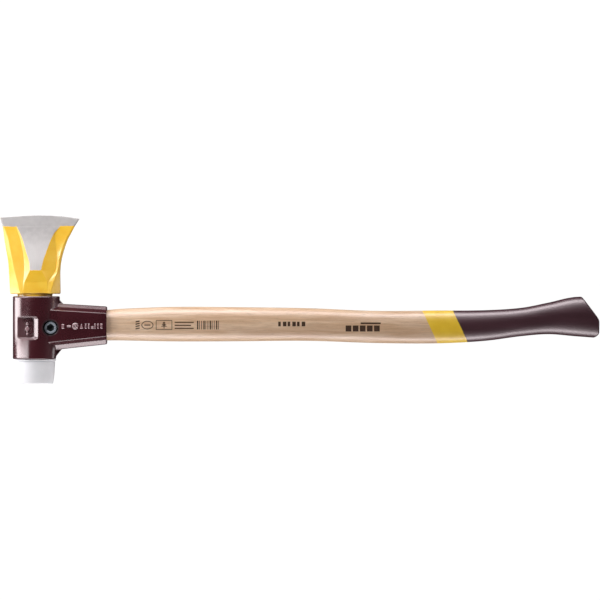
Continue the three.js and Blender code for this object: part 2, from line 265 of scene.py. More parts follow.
class Shader:
    """Short calls for building one material's nodes."""

    def __init__(self, name):
        self.material = bpy.data.materials.new(name)
        self.material.use_nodes = True
        self.tree = self.material.node_tree
        self.body = self.tree.nodes["Principled BSDF"]
        self.place = self.node("ShaderNodeTexCoord").outputs["Object"]

    def node(self, kind, **settings):
        made = self.tree.nodes.new(kind)
        for key, value in settings.items():
            setattr(made, key, value)
        return made

    def link(self, source, target):
        self.tree.links.new(source, target)

    def feed(self, target, value):
        """Links a socket to the target or sets its value, which may be a hex colour."""
        if isinstance(value, bpy.types.NodeSocket):
            self.link(value, target)
        else:
            target.default_value = srgb(value) if isinstance(value, str) else value

    def math(self, operation, a, b):
        made = self.node("ShaderNodeMath", operation=operation)
        self.feed(made.inputs[0], a)
        self.feed(made.inputs[1], b)
        return made.outputs[0]

    def plus(self, a, b):
        return self.math("ADD", a, b)

    def times(self, a, b):
        return self.math("MULTIPLY", a, b)

    def stretch(self, scale, turn=(0, 0, 0)):
        made = self.node("ShaderNodeMapping")
        self.link(self.place, made.inputs["Vector"])
        made.inputs["Scale"].default_value = scale
        made.inputs["Rotation"].default_value = turn
        return made.outputs[0]

    def noise(self, vector, scale, detail=4.0, rough=0.55, distortion=0.0):
        made = self.node("ShaderNodeTexNoise")
        self.link(vector, made.inputs["Vector"])
        made.inputs["Scale"].default_value = scale
        made.inputs["Detail"].default_value = detail
        made.inputs["Roughness"].default_value = rough
        made.inputs["Distortion"].default_value = distortion
        return made.outputs["Fac"]

    def ramp(self, value, stops):
        made = self.node("ShaderNodeValToRGB")
        self.link(value, made.inputs[0])
        points = made.color_ramp.elements
        while len(points) < len(stops):
            points.new(0.5)
        for point, (where, colour) in zip(points, stops):
            point.position = where
            point.color = srgb(colour)
        return made.outputs[0]

    def span(self, value, low, high, to_low=0.0, to_high=1.0):
        made = self.node("ShaderNodeMapRange", clamp=True)
        self.feed(made.inputs["Value"], value)
        for key, number in (("From Min", low), ("From Max", high), ("To Min", to_low), ("To Max", to_high)):
            self.feed(made.inputs[key], number)
        return made.outputs[0]

    def mix(self, share, a, b):
        made = self.node("ShaderNodeMix", data_type="RGBA")
        self.feed(made.inputs["Factor"], share)
        self.feed(made.inputs[6], a)
        self.feed(made.inputs[7], b)
        return made.outputs[2]

    def blend(self, share, a, b):
        made = self.node("ShaderNodeMix", data_type="FLOAT")
        self.feed(made.inputs["Factor"], share)
        self.feed(made.inputs[2], a)
        self.feed(made.inputs[3], b)
        return made.outputs[0]

    def attribute(self, name):
        return self.node("ShaderNodeAttribute", attribute_name=name).outputs["Fac"]

    def bump(self, height, distance, strength):
        made = self.node("ShaderNodeBump")
        self.feed(made.inputs["Height"], height)
        made.inputs["Distance"].default_value = distance
        made.inputs["Strength"].default_value = strength
        return made.outputs[0]

    def set(self, **values):
        for key, value in values.items():
            self.feed(self.body.inputs[key.replace("_", " ")], value)
        return self.material


def srgb(text):
    """A linear colour with full alpha from a hex one."""
    parts = [int(text[i : i + 2], 16) / 255 for i in (0, 2, 4)]
    return (*(c / 12.92 if c <= 0.04045 else ((c + 0.055) / 1.055) ** 2.4 for c in parts), 1.0)


# ---- Materials ----


def cast_paint():
    """Dark maroon gloss paint over a sand casting: soft waves, fine pits, thinner paint on the edges."""
    s = Shader("maroon_cast_paint")
    waves = s.noise(s.place, 260, 3)
    grit = s.noise(s.place, 1500, 5, 0.6)
    cloud = s.noise(s.place, 28, 4)
    edge = s.attribute("edge")
    speck = s.noise(s.place, 900, 4)
    raised = s.attribute("raised")
    worn = s.span(s.plus(edge, s.times(speck, 0.5)), 1.1, 1.4, 0.0, 0.5)
    # The tops of the raised signs are painted lighter: partly rubbed paint, partly a painted highlight.
    rubbed_and_highlight = s.times(raised, s.span(speck, 0.3, 0.55, 0.5, 0.95))
    base = s.mix(s.span(cloud, 0.3, 0.7), "3a0f18", "46131d")
    base = s.mix(s.span(edge, 0.3, 1.0, 0.0, 0.6), base, "5c2c33")
    base = s.mix(worn, base, "6a4a4a")
    base = s.mix(rubbed_and_highlight, base, "a5858a")
    # Painted shade: round the screw's hole the paint is drawn near black, rougher and less glossy.
    screw_shade = s.times(s.attribute("screw_shade"), s.span(cloud, 0.25, 0.6, 0.7, 1.0))
    base = s.mix(screw_shade, base, "160c10")
    height = s.plus(waves, s.times(grit, 0.07))
    rough = s.blend(screw_shade, s.blend(s.span(cloud, 0.3, 0.75), 0.24, 0.31), 0.6)
    s.set(IOR=2.1, Specular_Tint=(1.0, 0.84, 0.87, 1))
    s.set(Coat_IOR=1.8, Coat_Roughness=0.18, Coat_Tint=(1.0, 0.93, 0.94, 1))
    return s.set(Base_Color=base, Roughness=rough, Normal=s.bump(height, 0.00022, 0.55),
                 Specular_IOR_Level=s.blend(screw_shade, 0.5, 0.12), Coat_Weight=s.blend(screw_shade, 1.0, 0.25))


def blade_finish():
    """Yellow paint, and bare ground steel on the raised centre and along the cutting edge."""
    s = Shader("blade_paint_and_steel")
    centre = s.attribute("centre_distance")
    edge = s.attribute("edge_distance")
    ridge = s.attribute("edge")
    ragged = s.noise(s.place, 700, 5, 0.6)
    broad = s.noise(s.place, 120, 3)
    wander = s.plus(s.times(s.math("SUBTRACT", ragged, 0.5), 1.1),
                    s.times(s.math("SUBTRACT", broad, 0.5), 0.9))
    nearest = s.math("MINIMUM", centre, edge)
    bare = s.span(s.plus(nearest, wander), -0.12, 0.12, 1.0, 0.0)
    chips = s.span(s.noise(s.place, 480, 4, 0.65), 0.66, 0.7)
    chips = s.times(chips, s.span(ridge, 0.12, 0.4))
    bare = s.math("MAXIMUM", bare, chips)
    grind = s.noise(s.stretch((1400, 60, 200), (0, 0, 0.1)), 1, 4, 0.6)
    grind_edge = s.noise(s.stretch((90, 1600, 200), (0, 0, 0.05)), 1, 4, 0.6)
    streak = s.blend(s.span(edge, -2, 2, 0.0, 1.0), grind_edge, grind)
    # The bare steel grows lighter from the bevel towards the foot of the raised centre: a painted reflection
    # gradient.
    steel = s.mix(s.span(edge, 8, 56, 0.0, 1.0), "aba6a6", "dfd9d8")
    steel = s.mix(s.span(edge, -2, 3, 0.0, 1.0), "bcb7b7", steel)
    steel = s.mix(s.span(streak, 0.3, 0.75, 0.0, 0.22), steel, "a9a5a6")
    steel = s.mix(s.span(broad, 0.35, 0.75, 0.0, 0.3), steel, "d8d3d2")
    flow = s.noise(s.place, 60, 4, 0.6)
    paint = s.mix(s.span(flow, 0.3, 0.72), "fcc02a", "fecd3e")
    dirt = s.span(s.noise(s.place, 170, 5, 0.7), 0.58, 0.8, 0.0, 0.22)
    paint = s.mix(dirt, paint, "cf9a3a")
    base = s.mix(bare, paint, steel)
    rough = s.blend(bare, s.span(flow, 0.3, 0.7, 0.3, 0.4), s.span(streak, 0.3, 0.7, 0.36, 0.48))
    paint_skin = s.math("SUBTRACT", 1.0, bare)
    peel = s.noise(s.place, 1100, 3)
    height = s.plus(s.times(paint_skin, s.plus(1.0, s.times(peel, 0.35))),
                    s.times(s.times(bare, streak), 0.12))
    normal = s.bump(height, 0.00012, 0.8)
    s.set(Coat_IOR=2.0, Coat_Roughness=0.26)
    return s.set(Base_Color=base, Metallic=s.times(bare, 0.4), Roughness=rough, Normal=normal,
                 Coat_Weight=s.times(paint_skin, 0.9))


def nylon():
    """Moulded white nylon, a little translucent, with faint turning lines and scuffs on the face."""
    s = Shader("white_nylon")
    cloud = s.noise(s.place, 50, 4)
    rings = s.noise(s.stretch((8, 900, 8)), 1, 3)
    face = s.attribute("face_share")
    scuff = s.span(s.noise(s.stretch((300, 300, 300), (0, 0, 0.4)), 1, 6, 0.7), 0.52, 0.72)
    scuff = s.times(scuff, face)
    base = s.mix(s.span(cloud, 0.3, 0.7), "e8e6ea", "efedf1")
    base = s.mix(s.times(scuff, 0.5), base, "b9b3ae")
    height = s.plus(rings, s.times(s.noise(s.place, 1800, 3), 0.35))
    rough = s.blend(scuff, s.span(cloud, 0.3, 0.7, 0.36, 0.46), 0.7)
    s.set(Specular_IOR_Level=0.35, Subsurface_Weight=0.12)
    s.set(Subsurface_Radius=(0.004, 0.0036, 0.0034), Subsurface_Scale=1.0)
    return s.set(Base_Color=base, Roughness=rough, Normal=s.bump(height, 0.00012, 0.5))


def handle_finish():
    """Hickory under clear lacquer, then a slanted yellow band and a dark lacquered grip."""
    s = Shader("hickory_and_grip")
    along = s.stretch((9, 150, 150))
    growth = s.noise(along, 1, 5, 0.55, 0.5)
    fine = s.noise(s.stretch((22, 1300, 1300)), 1, 5, 0.6)
    pores = s.noise(s.stretch((55, 2600, 2600)), 1, 3, 0.6)
    heart = s.noise(s.stretch((3.2, 42, 42)), 1, 4, 0.6, 0.4)
    wood = s.ramp(growth, [(0.25, "cda480"), (0.45, "e3be9b"), (0.6, "f1d2b5"),
                           (0.8, "d6ac89")])
    wood = s.mix(s.span(heart, 0.48, 0.72, 0.0, 0.4), wood, "a67852")
    wood = s.mix(s.span(fine, 0.42, 0.66, 0.0, 0.4), wood, "ae8664")
    wood = s.mix(s.span(pores, 0.6, 0.74, 0.0, 0.7), wood, "5f422c")
    u = s.attribute("band_coordinate")
    uneven = s.times(s.math("SUBTRACT", s.noise(s.place, 260, 4), 0.5), 1.4)
    v = s.plus(u, uneven)
    band = s.span(v, BAND_START - 0.2, BAND_START + 0.2)
    grip = s.span(v, GRIP_START - 0.2, GRIP_START + 0.2)
    # The wood is drawn darker in patches round the socket's mouth.
    mouth_darkening = s.times(s.attribute("mouth_share"), s.span(s.noise(s.place, 90, 4), 0.35, 0.7))
    wood = s.mix(s.times(mouth_darkening, 0.45), wood, "6b4a33")
    end_grain = s.attribute("end_share")
    yellow = s.mix(s.span(s.noise(s.place, 70, 4), 0.3, 0.7), "f0c22a", "fad03c")
    dark = s.mix(s.span(growth, 0.3, 0.75), "370d1a", "451a28")
    rub = s.span(s.noise(s.stretch((40, 240, 240)), 1, 5, 0.65), 0.6, 0.85, 0.0, 0.25)
    dark = s.mix(rub, dark, "5a4046")
    dark = s.mix(s.times(end_grain, 0.25), dark, "6b565a")
    base = s.mix(band, wood, yellow)
    base = s.mix(grip, base, dark)
    lacquer = s.blend(band, s.span(fine, 0.3, 0.7, 0.36, 0.46), 0.38)
    rough = s.blend(grip, lacquer, s.span(growth, 0.3, 0.7, 0.36, 0.44))
    grain_height = s.plus(s.times(fine, 0.6), s.times(pores, 0.5))
    paint_step = s.plus(s.times(band, 0.6), s.times(grip, 0.35))
    height = s.plus(s.times(grain_height, s.blend(band, 1.0, 0.45)), paint_step)
    s.set(IOR=1.7, Specular_Tint=(1.0, 0.8, 0.86, 1), Coat_IOR=1.75, Coat_Roughness=0.3)
    return s.set(Base_Color=base, Roughness=rough, Normal=s.bump(height, 0.00016, 0.6),
                 Specular_IOR_Level=s.blend(grip, 0.5, 1.0), Coat_Weight=s.blend(grip, 0.75, 1.0))


def printed_ink():
    s = Shader("brown_ink")
    patchy = s.noise(s.stretch((300, 1500, 1500)), 1, 5, 0.7)
    base = s.mix(s.span(patchy, 0.5, 0.75), "3a2416", "6f4d33")
    rough = s.span(patchy, 0.3, 0.7, 0.45, 0.6)
    return s.set(Base_Color=base, Roughness=rough, Normal=s.bump(patchy, 0.00005, 0.5))


def screw_steel():
    """Blackened alloy steel with a little oil and rubbed edges."""
    s = Shader("blackened_steel")
    cloud = s.noise(s.place, 320, 4)
    grain = s.noise(s.place, 3000, 3)
    base = s.mix(s.span(cloud, 0.3, 0.7), "8b929d", "a8afba")
    rub = s.span(s.noise(s.place, 1300, 4), 0.6, 0.72, 0.0, 0.6)
    base = s.mix(rub, base, "b4b9c0")
    # The inside of the hexagon socket is painted near black: a painted shade in the recess.
    base = s.mix(s.attribute("key_share"), base, "1b2930")
    rough = s.span(cloud, 0.3, 0.7, 0.32, 0.45)
    return s.set(Base_Color=base, Metallic=0.2, Roughness=rough, Normal=s.bump(grain, 0.00005, 0.4))


def plated_steel():
    """Dull zinc plating with a mottled bloom."""
    s = Shader("zinc_plating")
    bloom = s.noise(s.place, 420, 5, 0.65)
    base = s.mix(s.span(bloom, 0.35, 0.7), "8f9194", "bcbdbd")
    rough = s.span(bloom, 0.3, 0.7, 0.34, 0.52)
    return s.set(Base_Color=base, Metallic=0.9, Roughness=rough, Normal=s.bump(bloom, 0.00005, 0.4))


# ---- Housing ----

BARREL_SIDES = 200


def barrel_section(y, inset):
    rise = (y - HOUSING_BOTTOM) / (HOUSING_TOP - HOUSING_BOTTOM)
    right = BARREL_RIGHT_BOTTOM + (BARREL_RIGHT_TOP - BARREL_RIGHT_BOTTOM) * rise
    centre = (BARREL_LEFT + right) / 2
    reach = (right - BARREL_LEFT) / 2 - inset
    turn = np.linspace(0, 2 * math.pi, BARREL_SIDES, endpoint=False)
    depth = (BARREL_DEPTH - inset) * np.sin(turn)
    return np.stack([centre + reach * np.cos(turn), np.full(BARREL_SIDES, y), depth], 1)


def barrel():
    """The barrel, with its ends rounded over."""
    lower = [barrel_section(HOUSING_BOTTOM + y, i) for i, y in rounding(1.0)]
    upper = [barrel_section(HOUSING_TOP - y, i) for i, y in reversed(rounding(1.8))]
    return loft("barrel", lower + upper)


def rounding(radius, steps=6):
    """How far a rounded edge draws in, and at what height above the end, from the end up."""
    turns = np.linspace(0, math.pi / 2, steps)
    return [(radius * (1 - math.sin(t)), radius * (1 - math.cos(t))) for t in turns]


# The stepped edges above and below the cheek: how far each point lies inwards, and its z.
EDGE_ABOVE = [(0, 3), (0.4, 8.4), (5, 12.8), (6, 14.4), (9, 24), (10.4, PANEL_HEIGHT)]
EDGE_BELOW = [(0, 3), (0.4, 7.2), (7, 12.8), (8, 14.4), (10.8, 24), (12.2, PANEL_HEIGHT)]
# x, height of the socket's centre line, half its height, and its share left where the end is rounded.
SOCKET_SECTIONS = [(8, 83.4, 35.96, 1), (SOCKET_END - 2.2, 85.7, 28, 1), (SOCKET_END - 0.8, 85.7, 28, 0.985),
                   (SOCKET_END, 85.7, 28, 0.95)]
WEB_HALF = 3.5  # half the thickness of the braces
# Each bore's low and high end, its radius, its rib's low and high side, and the rib's radius.
FACE_BORE = (HOUSING_BOTTOM - 5, 63, 23.3, 44.5, 49.5, 20.5)
BLADE_BORE = (100.5, HOUSING_TOP + 5, 25.7, 110, 116, 22.5)
CHAMBER_RADIUS = 23.3
CHAMBER_LOW = 68
CHAMBER_HIGH = 95.5
CHAMBER_WALL = 11  # x of its flat wall towards the screw
SHANK_HOLE = 6.6  # radius
HEAD_HOLE = 10.8  # radius of the recess for the screw's head


def socket_section(x, centre, half, share):
    """The socket's section: two flat cheeks between stepped edges."""
    front = [(half - inwards, z) for inwards, z in EDGE_ABOVE]
    front += [(inwards - half, z) for inwards, z in reversed(EDGE_BELOW)]
    around = front + [(y, -z) for y, z in reversed(front)]
    return [(x, centre + y * share, z * share) for y, z in around]


def socket():
    return loft("socket", [socket_section(*values) for values in SOCKET_SECTIONS])


def webs():
    """The thin braces in the parting plane between the socket and the ends of the barrel."""
    upper = slab("web", [(30, 110), (44, 113), (42, 116.6), (35.8, 123.6), (30, 124.4)],
                 -WEB_HALF, WEB_HALF)
    lower = slab("web_low", [(25, 60), (44, 56), (39.5, 50.8), (31, 40.2), (25, 40)],
                 -WEB_HALF, WEB_HALF)
    return boolean(upper, lower, "UNION")


def bore(low, high, radius, rib_low, rib_high, rib_radius):
    profile = [(AXIS, low), (radius, low), (radius, rib_low), (rib_radius, rib_low),
               (rib_radius, rib_high), (radius, rib_high), (radius, high), (AXIS, high)]
    return turned("bore", profile, 160)


def rod(name, radius, low, high, sides, centre=(0.0, 0.0), about="Y"):
    """A plain cylinder."""
    return turned(name, [(AXIS, low), (radius, low), (radius, high), (AXIS, high)], sides, centre, about)


def chamber():
    made = rod("chamber", CHAMBER_RADIUS, CHAMBER_LOW, CHAMBER_HIGH, 120)
    return boolean(made, box_solid("keep", (-40, 60, -40), (CHAMBER_WALL, 105, 40)), "INTERSECT")


POCKET = {"left": -40, "right": -0.3, "low": 67.4, "high": 98, "round": 3.5, "wall": 6.2, "rise": 5.6}
POCKET_LEAN = {"low": 0.4, "high": 0.1}  # how far the lower and upper walls lean, against the right one
POCKET_FLOOR = (26.1, 0.2)  # height of the floor at x = 0 and its slope along x
MARK = (-10.3, 80.6)  # middle of the sign on the floor


def floor_height(x):
    return POCKET_FLOOR[0] + POCKET_FLOOR[1] * x


def pocket_outline(margin, lift):
    """The pocket's outline, grown outwards by margin and lifted off its floor; its left end is open."""
    right = POCKET["right"] + margin
    low = POCKET["low"] - margin * POCKET_LEAN["low"]
    high = POCKET["high"] + margin * POCKET_LEAN["high"]
    reach = POCKET["round"] + margin / 3
    corners = [(POCKET["left"], low)]
    corners += arc((right - reach, low + reach), reach, -90, 0, 10)
    corners += arc((right - reach, high - reach), reach, 0, 90, 10)
    corners.append((POCKET["left"], high))
    return [(x, y, floor_height(x) + lift) for x, y in corners]


def mark_pocket():
    """The shallow pocket for the size mark: a flat slanted floor, leaning walls, open to the left."""
    steps = [(0, 0), (POCKET["wall"], POCKET["rise"]), (POCKET["wall"], 30)]
    return loft("pocket", [pocket_outline(margin, lift) for margin, lift in steps])


def size_mark():
    """A plain raised sign on the pocket's floor: a lozenge between two dots."""

    def raised(name, outline):
        return loft(name, [[(x, y, floor_height(x) + lift) for x, y in outline] for lift in (-1.2, 0.8)])

    lozenge = [(MARK[0] + 3.2, MARK[1]), (MARK[0], MARK[1] + 4.2), (MARK[0] - 3.2, MARK[1]),
               (MARK[0], MARK[1] - 4.2)]
    made = raised("lozenge", lozenge)
    for shift in (-7.6, 7.6):
        made = boolean(made, raised("dot", arc((MARK[0], MARK[1] + shift), 1.5, 0, 345, 24)), "UNION")
    return made


def cheek_marks():
    """A row of plain signs cast on the cheek, where a casting has its raised marks."""
    top = PANEL_HEIGHT + 0.9
    middle = 84.6

    def raised(outline):
        return slab("sign", outline, PANEL_HEIGHT - 2, top)

    def block(x0, x1, y0, y1):
        return raised([(x0, middle + y0), (x1, middle + y0), (x1, middle + y1), (x0, middle + y1)])

    signs = [block(40.4, 43.6, -3.2, 2.6), block(48, 53.4, -0.9, 0.9)]
    ring = raised(arc((60, middle), 4.3, 0, 352.5, 48))
    hole = slab("hole", arc((60, middle), 2.7, 0, 352.5, 48), PANEL_HEIGHT, top + 1)
    signs.append(boolean(ring, hole, "DIFFERENCE"))
    signs.append(raised(arc((60, middle), 1.1, 0, 345, 24)))
    signs.append(raised([(67.2, middle - 3.2), (71.4, middle - 3.2), (69.3, middle + 3.4)]))
    bars = [(1.7, 3.2), (1.7, 3.2), (3.2, -0.8), (1.7, 3.2), (1.7, 3.2), (2.6, 3.2)]
    for i, (wide, high) in enumerate(bars):
        x = 74.6 + i * 4.5
        signs.append(block(x, x + wide, -3.2, high))
    made = signs[0]
    for sign in signs[1:]:
        made = boolean(made, sign, "UNION")
    return made


EDGE_RADIUS = 0.9  # mm; a point that curves as sharply as this counts as a full edge


def edge_attribute(obj):
    """Stores how sharply the surface turns outwards at each point: 0 on flats and hollows, 1 on edges."""
    points = vertex_values(obj, "co")
    normals = vertex_values(obj, "normal")
    ends = np.empty(len(obj.data.edges) * 2, int)
    obj.data.edges.foreach_get("vertices", ends)
    a, b = ends.reshape(-1, 2).T
    along = points[b] - points[a]
    turn = np.einsum("ij,ij->i", normals[b] - normals[a], along)
    turn /= np.maximum(np.einsum("ij,ij->i", along, along), 1e-12)
    total = np.zeros(len(points))
    count = np.zeros(len(points))
    for end in (a, b):
        np.add.at(total, end, turn)
        np.add.at(count, end, 1)
    curve = total / np.maximum(count, 1)
    for _ in range(3):
        spread = np.zeros(len(points))
        np.add.at(spread, a, curve[b])
        np.add.at(spread, b, curve[a])
        curve = 0.5 * curve + 0.5 * spread / np.maximum(count, 1)
    put_attribute(obj, "edge", np.clip(curve * EDGE_RADIUS * MM, 0, 1))


def raised_attribute(obj):
    """Marks the tops of the cast signs on the cheek and in the pocket."""
    x, y, z = tool_points(obj).T
    on_cheek = np.clip((z - PANEL_HEIGHT - 0.3) / 0.3, 0, 1) * (x > 38.5)
    in_pocket = np.clip((z - floor_height(x) - 0.3) / 0.3, 0, 1)
    in_pocket *= (np.abs(x - MARK[0]) < 4) & (np.abs(y - MARK[1]) < 9.5)
    put_attribute(obj, "raised", np.maximum(on_cheek, in_pocket))


def screw_shade_attribute(obj):
    """Marks the ring round the screw's hole on the cheek side, where the paint is drawn darker and duller as
    painted shade.
    """
    x, y, z = tool_points(obj).T
    away = np.hypot(x - SCREW.x, y - SCREW.y)
    put_attribute(obj, "screw_shade", np.clip((14.2 - away) / 3.4, 0, 1) ** 1.5 * (z > 0))


def soften(obj, voxel, rounds, keep):
    """Turns the mesh into small even faces with every edge and inner corner a little rounded."""
    change = obj.modifiers.new("remesh", "REMESH")
    change.mode = "VOXEL"
    change.voxel_size = voxel * 1 * MM
    change.use_smooth_shade = True
    change = obj.modifiers.new("smooth", "SMOOTH")
    change.factor = 0.5
    change.iterations = rounds
    apply_modifiers(obj)
    if keep < 1:
        change = obj.modifiers.new("thin", "DECIMATE")
        change.ratio = keep
        apply_modifiers(obj)
    shade(obj)
    return obj


def housing_half(name, side):
    """The front half of the casting for side 1, with the screw's recess, or the rear one for side -1."""
    body = barrel()
    body = boolean(body, socket(), "UNION")
    body = boolean(body, webs(), "UNION")
    body = boolean(body, bore(*FACE_BORE), "DIFFERENCE")
    body = boolean(body, bore(*BLADE_BORE), "DIFFERENCE")
    body = boolean(body, chamber(), "DIFFERENCE")
    body = boolean(body, handle_solid("handle_room", HANDLE_ROOM, 2.0, 80), "DIFFERENCE")
    centre = (SCREW.x, SCREW.y)
    shank = rod("shank", SHANK_HOLE, -BEYOND, BEYOND, 64, centre, "Z")
    body = boolean(body, shank, "DIFFERENCE")
    if side > 0:
        seat = float(washer_low[2]) - GAP
        recess = rod("recess", HEAD_HOLE, seat, BEYOND, 96, centre, "Z")
        body = boolean(body, recess, "DIFFERENCE")
        body = boolean(body, mark_pocket(), "DIFFERENCE")
        body = boolean(body, size_mark(), "UNION")
        body = boolean(body, cheek_marks(), "UNION")
        keep = box_solid("keep", (-60, 0, SPLIT), (140, 160, 60))
    else:
        seat = float(nut_high[2]) + NUT_ROOM
        flats = float(nut_high[1] - nut_low[1]) * math.sqrt(3) / 2 + 2 * NUT_ROOM
        recess = slab("recess", hexagon(flats, *centre), -BEYOND, seat)
        body = boolean(body, recess, "DIFFERENCE")
        keep = box_solid("keep", (-60, 0, -60), (140, 160, -SPLIT))
    body = boolean(body, keep, "INTERSECT")
    body.name = name
    soften(body, 0.4, 8, 0.55)
    edge_attribute(body)
    raised_attribute(body)
    screw_shade_attribute(body)
    return body


# ---- Handle ----

# x, height of the centre line, half the height and half the depth of the handle's section.
HANDLE_STATIONS = [
    (20, 84.6, 27.3, 20.8),
    (60, 85.2, 25.2, 19.8),
    (100, 85.7, 22.4, 18.4),
    (125, 86.8, 23.2, 18.4),
    (200, 87.5, 25.3, 18),
    (290, 87.4, 25.1, 17.4),
    (400, 87, 24, 16.6),
    (500, 83.4, 23.6, 16),
    (590, 83.4, 24.1, 15.4),
    (660, 85.4, 22.6, 14.8),
    (715, 90.7, 20.9, 14.5),
    (755, 96, 23.3, 15.2),
    (795, 98.6, 29, 17),
    (850, 95.6, 30, 15.4),
]
OVAL = 2 / 2.25
KNOB_START = 770.0  # from here on the sections lean over to the slanted end
KNOB_EDGE = 1.8  # radius of the knob's rounded edge
KNOB_MIDDLE = 96.5  # height on the end that its last sections close on
HANDLE_ROOM_END = 300.0  # far enough past the socket for what is cut out of it
BAND_SLANT = 0.47  # how far the painted edges run along the handle for each unit of height
BAND_START = 580.5
GRIP_START = 625.5


def station_values(x):
    """Centre height, half height and half depth at x, on a smooth curve through the stations."""
    table = np.array(HANDLE_STATIONS, float)
    xs = table[:, 0]
    i = int(np.clip(np.searchsorted(xs, x) - 1, 0, len(xs) - 2))
    slopes = np.empty((len(xs), 3))
    slopes[1:-1] = (table[2:, 1:] - table[:-2, 1:]) / (xs[2:] - xs[:-2])[:, None]
    slopes[0] = (table[1, 1:] - table[0, 1:]) / (xs[1] - xs[0])
    slopes[-1] = (table[-1, 1:] - table[-2, 1:]) / (xs[-1] - xs[-2])
    width = xs[i + 1] - xs[i]
    t = (x - xs[i]) / width
    return hermite(table[i, 1:], table[i + 1, 1:], width * slopes[i], width * slopes[i + 1], t)


def oval(turn):
    """A point of the section's outline, a slightly squared oval, for unit half axes."""
    c, s = np.cos(turn), np.sin(turn)
    return np.sign(c) * np.abs(c) ** OVAL, np.sign(s) * np.abs(s) ** OVAL


def handle_end_x(y):
    """Where the knob ends at height y: a slanted flat, a short upright one and a rounded lower corner."""
    high = handle_high[0]
    slanted = high - 0.752 * (y - 93.8)
    lower = high - np.maximum(0, 75.5 - y) ** 2 * 0.11
    soft = 1.2
    flat = -soft * np.log(np.exp(-(slanted - high) / soft) + 1)
    return np.minimum(high + flat + soft * math.log(2) * 0.4, lower)


def handle_solid(name, margin, step, sides, finished=False):
    """The handle by sections along x. finished closes its far end as the real knob is closed."""
    turn = np.linspace(0, 2 * math.pi, sides, endpoint=False)
    start = handle_low[0] - margin
    last = KNOB_START if finished else HANDLE_ROOM_END
    sections = []
    for x in np.arange(start, last + 0.01, step):
        centre, half, depth = station_values(x)
        y, z = oval(turn)
        sections.append(np.stack([np.full(sides, x), centre + (half + margin) * y, (depth + margin) * z], 1))
    if not finished:
        return loft(name, sections)

    def on_surface(x):
        rows = np.array([station_values(value) for value in x])
        y, z = oval(turn)
        return rows[:, 0] + rows[:, 1] * y, rows[:, 2] * z, rows

    limit = np.full(sides, 800.0)
    for _ in range(6):
        limit = handle_end_x(on_surface(limit)[0])
    for share in np.linspace(0, 1, 26)[1:]:
        x = last + (limit - KNOB_EDGE - last) * share
        y, z, rows = on_surface(x)
        sections.append(np.stack([x, y, z], 1))
    y, z, rows = on_surface(limit)
    radius = np.hypot(y - rows[:, 0], z)
    for lean_in in np.radians(np.linspace(15, 90, 6)):
        inward = 1 - KNOB_EDGE * (1 - math.cos(lean_in)) / radius
        yy = rows[:, 0] + (y - rows[:, 0]) * inward
        x = handle_end_x(yy) - KNOB_EDGE * (1 - math.sin(lean_in))
        sections.append(np.stack([x, yy, z * inward], 1))
    outer = sections[-1]
    for share in (0.9, 0.78, 0.64, 0.48, 0.32, 0.16, 0.04):
        yy = KNOB_MIDDLE + (outer[:, 1] - KNOB_MIDDLE) * share
        sections.append(np.stack([handle_end_x(yy), yy, outer[:, 2] * share], 1))
    return loft(name, sections)


def hickory_handle():
    made = handle_solid("hickory_handle", 0.0, 2.0, 96, finished=True)
    points = tool_points(made)
    x, y = points[:, 0], points[:, 1]
    put_attribute(made, "band_coordinate", x + BAND_SLANT * (y - 83))
    put_attribute(made, "mouth_share", np.clip(1 - np.abs(x - SOCKET_END - 4) / 14, 0, 1))
    put_attribute(made, "end_share", np.clip((x - handle_end_x(y) + 2.2) / 1.2, 0, 1))
    shade(made, 50)
    return install(made, "hickory_handle", handle_finish())


def surface_height(x, y):
    """z of the handle's front surface."""
    centre, half, depth = station_values(x)
    c = min(abs(y - centre) / half, 0.999) ** (1 / OVAL)
    return depth * max(1 - c * c, 0) ** (OVAL / 2)


class Print:
    """Thin ink marks laid on the handle's front, each a patch of quads that follows the wood."""

    INK = 0.05
    SUNK = 0.25

    def __init__(self):
        self.points = []
        self.faces = []

    def patch(self, corners, along, across):
        """One four-sided patch, given its corners in order round it."""
        a, b, c, d = (np.array(p, float) for p in corners)
        start = len(self.points)
        rows, columns = along + 1, across + 1
        for lift in (self.INK, -self.SUNK):
            for i in range(rows):
                for j in range(columns):
                    s, t = i / along, j / across
                    x, y = (1 - s) * ((1 - t) * a + t * d) + s * ((1 - t) * b + t * c)
                    self.points.append((x, y, surface_height(x, y) + lift))
        layer = rows * columns
        for i in range(along):
            for j in range(across):
                quad = [start + i * columns + j, start + (i + 1) * columns + j,
                        start + (i + 1) * columns + j + 1, start + i * columns + j + 1]
                self.faces.append(tuple(quad))
                self.faces.append(tuple(q + layer for q in reversed(quad)))
        rim = [start + j for j in range(columns)]
        rim += [start + i * columns + across for i in range(1, rows)]
        rim += [start + along * columns + j for j in range(across - 1, -1, -1)]
        rim += [start + i * columns for i in range(along - 1, 0, -1)]
        for p, q in zip(rim, rim[1:] + rim[:1]):
            self.faces.append((p, q, q + layer, p + layer))

    def bar(self, x0, x1, y0, y1):
        along = max(1, round(abs(x1 - x0) / 4))
        across = max(1, round(abs(y1 - y0) / 1.2))
        self.patch([(x0, y0), (x1, y0), (x1, y1), (x0, y1)], along, across)

    def ring(self, x, y, rx, ry, width):
        turns = np.radians(np.linspace(0, 360, 29))
        for p, q in zip(turns, turns[1:]):
            outer = [(x + rx * math.cos(t), y + ry * math.sin(t)) for t in (p, q)]
            inner = [(x + (rx - width) * math.cos(t), y + (ry - width) * math.sin(t)) for t in (q, p)]
            self.patch(outer + inner, 1, 1)

    def frame(self, x0, x1, y0, y1, width):
        self.bar(x0, x1, y0, y0 + width)
        self.bar(x0, x1, y1 - width, y1)
        self.bar(x0, x0 + width, y0 + width + 0.02, y1 - width - 0.02)
        self.bar(x1 - width, x1, y0 + width + 0.02, y1 - width - 0.02)


